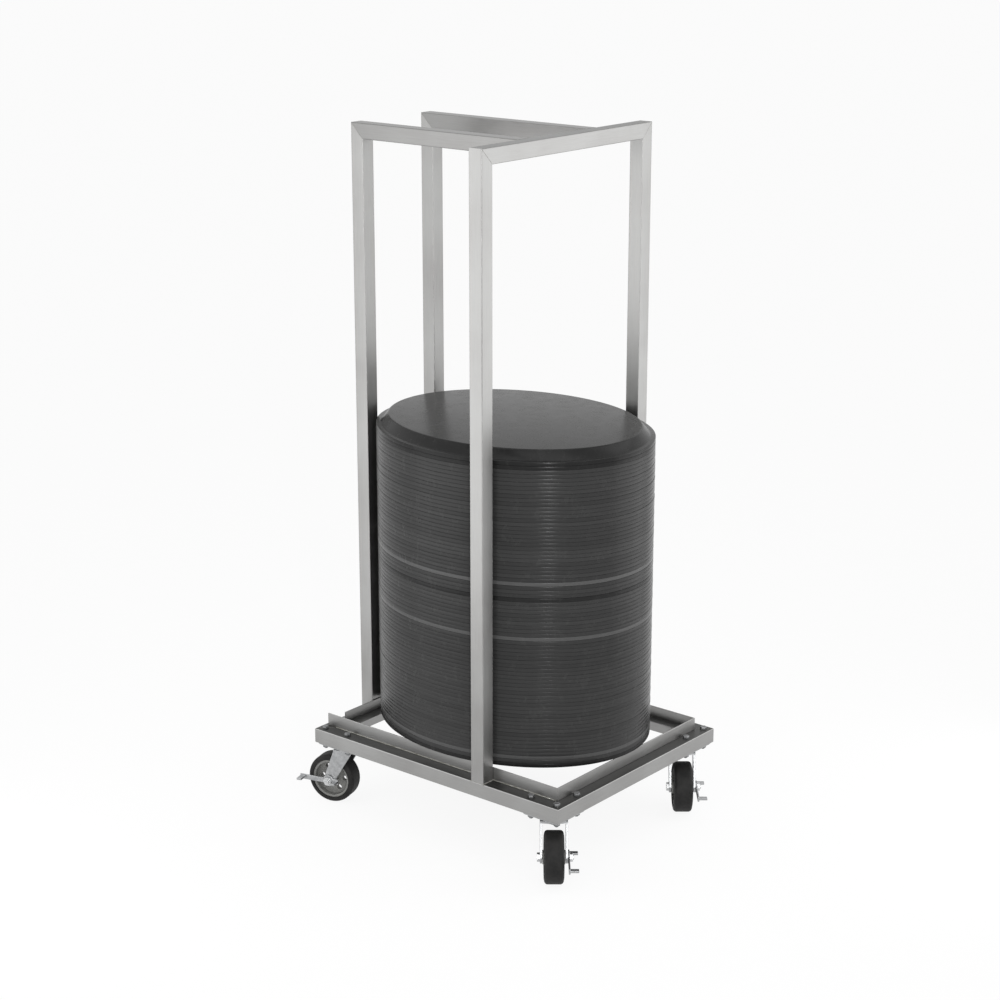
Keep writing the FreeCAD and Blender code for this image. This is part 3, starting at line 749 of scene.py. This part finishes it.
def rimProfile():
    # outside of the rim from its foot to its top, as inset and level
    foot, edge, height = trayStyle["footRound"], trayStyle["rimRound"], trayStyle["rimHeight"]
    eighth = math.pi / 4
    lower = [(foot - foot * math.cos(t), foot - foot * math.sin(t)) for t in (2 * eighth, eighth, 0)]
    upper = [(edge - edge * math.cos(t), height - edge + edge * math.sin(t)) for t in (0, eighth, 2 * eighth)]
    return lower + upper


def rimMesh():
    bm = bmesh.new()
    inner = trayStyle["rimWidth"] - trayStyle["footRound"]
    profile = rimProfile() + [(inner, trayStyle["rimHeight"]), (inner, 0.0)]
    closeRings(bm, [ovalRing(bm, inset, level) for inset, level in profile])
    return bm


def wholeTrayMesh():
    # upside down: rim, leaning wall and floor, with the hollow underneath
    bm = bmesh.new()
    rim, flare, height = trayStyle["rimWidth"], trayStyle["wallFlare"], trayStyle["rimHeight"]
    wall, floor = trayStyle["wallThickness"], trayStyle["floorThickness"]
    before, after = trayStyle["heelBefore"], trayStyle["heelAfter"]
    bend, steps = trayStyle["floorRound"], trayStyle["floorSteps"]
    lean = math.atan2(trayTall - height, flare)
    cut = bend * math.tan(lean / 2)                  # where the rounding starts, from the corner
    cx, cz = rim + flare + cut, trayTall - bend
    shoulder = []
    for i in range(steps + 1):
        turn = lean * (1 - i / steps)
        shoulder.append((cx - bend * math.sin(turn), cz + bend * math.cos(turn)))
    outside = rimProfile() + [(rim - before, height), (rim + after, height + after)] + shoulder
    slope = flare / (trayTall - height)
    inside = [(rim + wall - height * slope, 0.0), (rim + wall + flare - floor * slope, trayTall - floor)]
    outer = [ovalRing(bm, inset, level) for inset, level in outside]
    inner = [ovalRing(bm, inset, level) for inset, level in inside]
    for first, second in zip(outer, outer[1:]):
        bridge(bm, first, second)
    bridge(bm, outer[0], inner[0])
    bridge(bm, inner[0], inner[1])
    bm.faces.new(outer[-1])
    bm.faces.new(inner[-1])
    bmesh.ops.recalc_face_normals(bm, faces=bm.faces)
    return bm


def stackTree():
    # a column of rims, each a little out of line, with a tone that picks out the odd trays
    inputs = {"Rim": "Object", "Trays": "Int", "Pitch": "Float", "Slip": "Float", "Seed": "Int",
              "Finish": "Material"}
    inputs.update({label: "Int" for label in trayStyle["oddTrays"]})
    tree, ids, given = newTree("trayColumn", inputs)
    step = addNode(tree, "ShaderNodeCombineXYZ", Z=given["Pitch"])
    column = addNode(tree, "GeometryNodeMeshLine", Count=given["Trays"], Offset=step.outputs[0])
    rim = addNode(tree, "GeometryNodeObjectInfo", Object=given["Rim"])
    index = addNode(tree, "GeometryNodeInputIndex").outputs[0]
    away = addNode(tree, "FunctionNodeRandomValue",
                   {"data_type": "FLOAT_VECTOR", 0: (-1, -1, 0), 1: (1, 1, 0)},
                   ID=index, Seed=given["Seed"])
    slip = addNode(tree, "ShaderNodeVectorMath", {"operation": "SCALE"},
                   i0=away.outputs[0], Scale=given["Slip"])
    moved = addNode(tree, "GeometryNodeSetPosition", Geometry=column.outputs[0], Offset=slip.outputs[0])
    placed = addNode(tree, "GeometryNodeInstanceOnPoints", Points=moved.outputs[0],
                     Instance=rim.outputs["Geometry"])
    least, most = trayStyle["tones"]
    tone = addNode(tree, "FunctionNodeRandomValue", {"data_type": "FLOAT", 2: least, 3: most},
                   ID=index, Seed=given["Seed"]).outputs[1]
    for label, (place, change) in trayStyle["oddTrays"].items():
        here = addNode(tree, "FunctionNodeCompare", {"data_type": "INT", "operation": "EQUAL"},
                       i2=index, i3=given[label])
        tone = addNode(tree, "ShaderNodeMath", {"operation": "MULTIPLY_ADD", 1: change},
                       i0=here.outputs[0], i2=tone).outputs[0]
    toned = addNode(tree, "GeometryNodeStoreNamedAttribute",
                    {"data_type": "FLOAT", "domain": "INSTANCE", "Name": "trayTone"},
                    Geometry=placed.outputs[0], Value=tone)
    endTree(tree, toned.outputs[0], given["Finish"])
    return tree, ids


def placedTray(name, body, level):
    mesh = traySource.data.copy()
    mesh.name = name
    mesh.transform(Matrix.Translation((trayCentre.x, 0, level)))
    mesh.materials.append(trayFinish)
    obj = linkedObject(name, mesh)
    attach(obj, body)
    return obj


rimSource = looseMesh("rimSource", rimMesh())
traySource = looseMesh("traySource", wholeTrayMesh())
columnTree, columnIds = stackTree()
columnValues = {"Rim": rimSource, "Trays": trayStyle["trays"] - trayStyle["wholeTrays"], "Pitch": trayPitch,
                "Slip": trayStyle["slip"], "Seed": trayStyle["seed"], "Finish": trayFinish}
columnValues.update({label: place for label, (place, change) in trayStyle["oddTrays"].items()})
columnMesh = bpy.data.meshes.new("tray_stack_rims")
stackPiece = grownObject("tray_stack_rims", columnMesh, columnTree, columnIds, columnValues)
stackPiece.data.transform(Matrix.Translation((trayCentre.x, 0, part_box("tray_stack")[0].z)))
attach(stackPiece, "tray_load")
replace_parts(stackPiece, "tray_stack")
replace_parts(placedTray("tray_bottom_whole", "tray_load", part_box("bottom_tray")[0].z), "bottom_tray")
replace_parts(placedTray("tray_top_whole", "tray_on_top", trayLow.z), "top_tray")
placedTray("tray_next_whole", "tray_load", trayLow.z - trayPitch)
for source in (rimSource, traySource):
    bpy.data.objects.remove(source)
print("trays:", trayStyle["trays"])


# casters

casterStyle = {
    "steps": 96,              # sides of a turned ring
    "tyreShoulder": 9.0 * mm,
    "shoulderSteps": 8,
    "tyreDepth": 13.0 * mm,
    "tyreWidth": 48.0 * mm,
    "tyreSmoothAngle": 50,    # degrees
    "beadLip": 2.5 * mm,      # raised ring of the side wall, against the core
    "wallSink": 0.7 * mm,
}
casterParts = (
    # part, edge rounding, material, body, slot
    ("fork", 1.2 * mm, casterZinc, "_swivel", "zinc_caster"),
    ("axle", 0.7 * mm, axleZinc, "_swivel", "zinc_fasteners"),
    ("brake_lever", 0.9 * mm, casterZinc, "_brake", "zinc_caster"),
    ("wheel_core", 0.8 * mm, nylon, "_wheel", "wheel_plastic"),
    ("top_plate", 0.8 * mm, casterZinc, None, "zinc_caster"),      # None: fixed to the frame
    ("kingpin", 0.8 * mm, casterZinc, None, "zinc_caster"),
)
spins = {joint["child"]: joint for joint in frame["record"]["behaviour"]["joints"]}


def tyreProfile(radius):
    # half section from the core outward: lip, sunk side wall, rounded shoulder, tread
    half, depth = casterStyle["tyreWidth"] / 2, casterStyle["tyreDepth"]
    lip, sink = casterStyle["beadLip"], casterStyle["wallSink"]
    shoulder, steps = casterStyle["tyreShoulder"], casterStyle["shoulderSteps"]
    side = [(radius - depth, half), (radius - depth + lip - sink, half), (radius - depth + lip, half - sink)]
    curve = []
    for i in range(steps + 1):
        turn = math.radians(90 * i / steps)
        curve.append((radius - shoulder + shoulder * math.sin(turn),
                      half - shoulder + (shoulder - sink) * math.cos(turn)))
    return side + curve


def turnedRing(profile, centre, axis, steps):
    # mirrors the half section and turns it about the axle
    section = profile + [(radius, -level) for radius, level in reversed(profile)]
    up = Vector((0, 0, 1))
    ahead = axis.cross(up)
    bm = bmesh.new()
    rings = []
    for radius, level in section:
        ring = []
        for i in range(steps):
            turn = 2 * math.pi * i / steps
            outward = up * math.cos(turn) + ahead * math.sin(turn)
            ring.append(bm.verts.new(centre + axis * level + outward * radius))
        rings.append(ring)
    closeRings(bm, rings)
    return bm


def paint(material, name):
    nodes[name].data.materials.clear()
    nodes[name].data.materials.append(material)


for corner in casterCorners:
    caster = "caster_" + corner
    for part, edge, finish, body, slotName in casterParts:
        node = caster + "_" + part
        carrier = caster + body if body else "frame"
        piece = newPiece(node + "_edged", softenedCopy(node, edge), finish, carrier)
        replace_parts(piece, node)
    paint(ballSteel, caster + "_bearing_balls")
    spin = spins[caster + "_wheel"]
    centre, axis = Vector(spin["pos_m"]), Vector(spin["axis"]).normalized()
    ring = turnedRing(tyreProfile(centre.z), centre, axis, casterStyle["steps"])
    piece = newPiece(caster + "_tyre_moulded", ring, rubber, caster + "_wheel",
                     casterStyle["tyreSmoothAngle"])
    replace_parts(piece, caster + "_tyre")
print("casters:", len(casterCorners))


# studio

studioStyle = {
    "floorTints": ((0.0, "#f4f4f4"), (1.0, "#fafafa")),
    "floorFibre": {"Scale": 1 / (60 * mm), "Detail": 2.0},
    "floorRoughness": 0.9,
    "floorWhite": 0.9,        # share of plain white in what is seen of the floor, the rest keeps the shadow
    "floorReach": 120.0,
    "worldLight": 0.65,       # what the world sends to dull surfaces
    "worldSeen": 0.98,        # what the camera and reflections see of it
    "aim": (0, 0, 0.9),
}
lamps = {
    # name: place, width, height, power
    "leftPanel": ((-0.76, -1.25, 1.15), 1.0, 2.2, 9.5),
    "rightPanel": ((0.99, 0.74, 1.15), 1.0, 2.2, 8.5),
    "frontStrip": ((3.0, -3.1, 1.6), 0.15, 1.8, 60),
    "overhead": ((0.2, -0.3, 3.6), 1.6, 1.6, 12),
}
view = {
    # three quarter view from above, on the loading end and the right side; angles in degrees
    "place": (3.274, -4.046, 2.356),
    "yaw": 39.38,
    "down": 16.59,
    "lens": 79.7,
    "sensor": 36.0,
    "clipEnd": 200.0,
}


def seenRays(tree):
    # 1 for what the camera sees, straight or in metal and glass, 0 for light on dull surfaces
    path = addNode(tree, "ShaderNodeLightPath").outputs
    seen = path["Is Camera Ray"]
    for kind in ("Is Glossy Ray", "Is Transmission Ray"):
        seen = addNode(tree, "ShaderNodeMath", {"operation": "MAXIMUM"}, i0=seen, i1=path[kind]).outputs[0]
    return seen


def paleFloor():
    # plain matt floor that reads as white paper and keeps a soft shadow
    material, tree, shader, coords = newMaterial("paleFloor")
    fibre = addNode(tree, "ShaderNodeTexNoise", studioStyle["floorFibre"], Vector=coords)
    ramp = addNode(tree, "ShaderNodeValToRGB", {"stops": studioStyle["floorTints"]}, Fac=fibre.outputs["Fac"])
    feed(tree, shader, ramp.outputs[0])
    shader.inputs["Roughness"].default_value = studioStyle["floorRoughness"]
    share = addNode(tree, "ShaderNodeMath", {"operation": "MULTIPLY", 1: studioStyle["floorWhite"]},
                    i0=seenRays(tree))
    white = addNode(tree, "ShaderNodeEmission", {"Strength": 1.0})
    mixed = addNode(tree, "ShaderNodeMixShader",
                    i0=share.outputs[0], i1=shader.outputs[0], i2=white.outputs[0])
    tree.links.new(mixed.outputs[0], tree.nodes["Material Output"].inputs["Surface"])
    return material


def studioFloor():
    reach = studioStyle["floorReach"]
    corners = [(-reach, -reach, 0), (reach, -reach, 0), (reach, reach, 0), (-reach, reach, 0)]
    mesh = bpy.data.meshes.new("floor")
    mesh.from_pydata(corners, [], [(0, 1, 2, 3)])
    mesh.materials.append(paleFloor())
    floor = linkedObject("floor", mesh)


def studioWorld():
    world = bpy.data.worlds.new("studioWhite")
    bpy.context.scene.world = world
    world.use_nodes = True
    tree = world.node_tree
    background = tree.nodes["Background"]
    background.inputs["Color"].default_value = linearColour("#ffffff")
    levels = span("To", (studioStyle["worldLight"], studioStyle["worldSeen"]))
    level = addNode(tree, "ShaderNodeMapRange", levels, Value=seenRays(tree))
    tree.links.new(level.outputs[0], background.inputs["Strength"])


def studioLamps():
    for name, (place, width, height, power) in lamps.items():
        lamp = bpy.data.lights.new(name, "AREA")
        lamp.shape = "RECTANGLE"
        lamp.size = width
        lamp.size_y = height
        lamp.energy = power
        obj = linkedObject(name, lamp)
        obj.location = place
        toAim = Vector(studioStyle["aim"]) - Vector(place)
        obj.rotation_euler = toAim.to_track_quat("-Z", "Y").to_euler()
        obj.visible_camera = False


def photoCamera():
    camera = bpy.data.cameras.new("photoView")
    camera.sensor_width = view["sensor"]
    camera.lens = view["lens"]
    camera.clip_end = view["clipEnd"]
    obj = linkedObject("photoView", camera)
    obj.location = view["place"]
    obj.rotation_euler = (math.radians(90 - view["down"]), 0, math.radians(view["yaw"]))
    bpy.context.scene.camera = obj


studioFloor()
studioWorld()
studioLamps()
photoCamera()
bpy.context.scene.view_settings.view_transform = "Standard"
print("studio and camera set")
